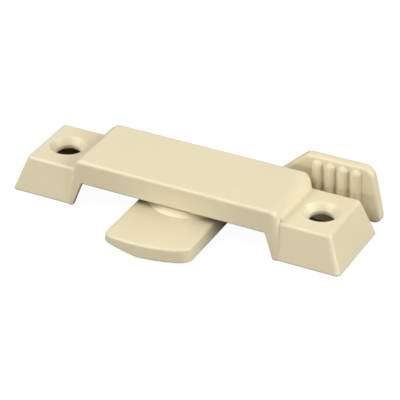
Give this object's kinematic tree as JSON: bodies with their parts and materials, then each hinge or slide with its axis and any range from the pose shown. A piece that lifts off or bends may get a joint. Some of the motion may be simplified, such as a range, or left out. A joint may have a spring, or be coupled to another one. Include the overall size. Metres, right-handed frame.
{
  "type": "sliding window lock",
  "caption": "Bridge-shaped surface lock for a sliding sash: a thumb plate turns a flat latch tongue out from under the painted die-cast housing.",
  "frame": {"origin": "on the mounting plane, on the pivot axis, midway between the two screw holes", "axes": "+X along the housing towards the thumb plate, -Y towards the latch tongue in the locked position, +Z away from the sash"},
  "size_m": [0.0775, 0.0365, 0.0137],
  "materials": {
    "paint": "satin almond enamel on zinc die-casting",
    "plated_steel": "bright zinc plate",
    "spring_steel": "dull spring steel"
  },
  "bodies": {
    "base": {"housing": "paint", "pivot_rivet": "plated_steel", "flat_washer": "plated_steel", "wave_washer": "spring_steel"},
    "lever": {"latch_lever": "paint"}
  },
  "joints": [
    {"name": "latch_turn", "type": "hinge", "parent": "base", "child": "lever", "pos_m": [0, 0, 0], "axis": [0, 0, 1], "range_deg": [0, 90]}
  ]
}
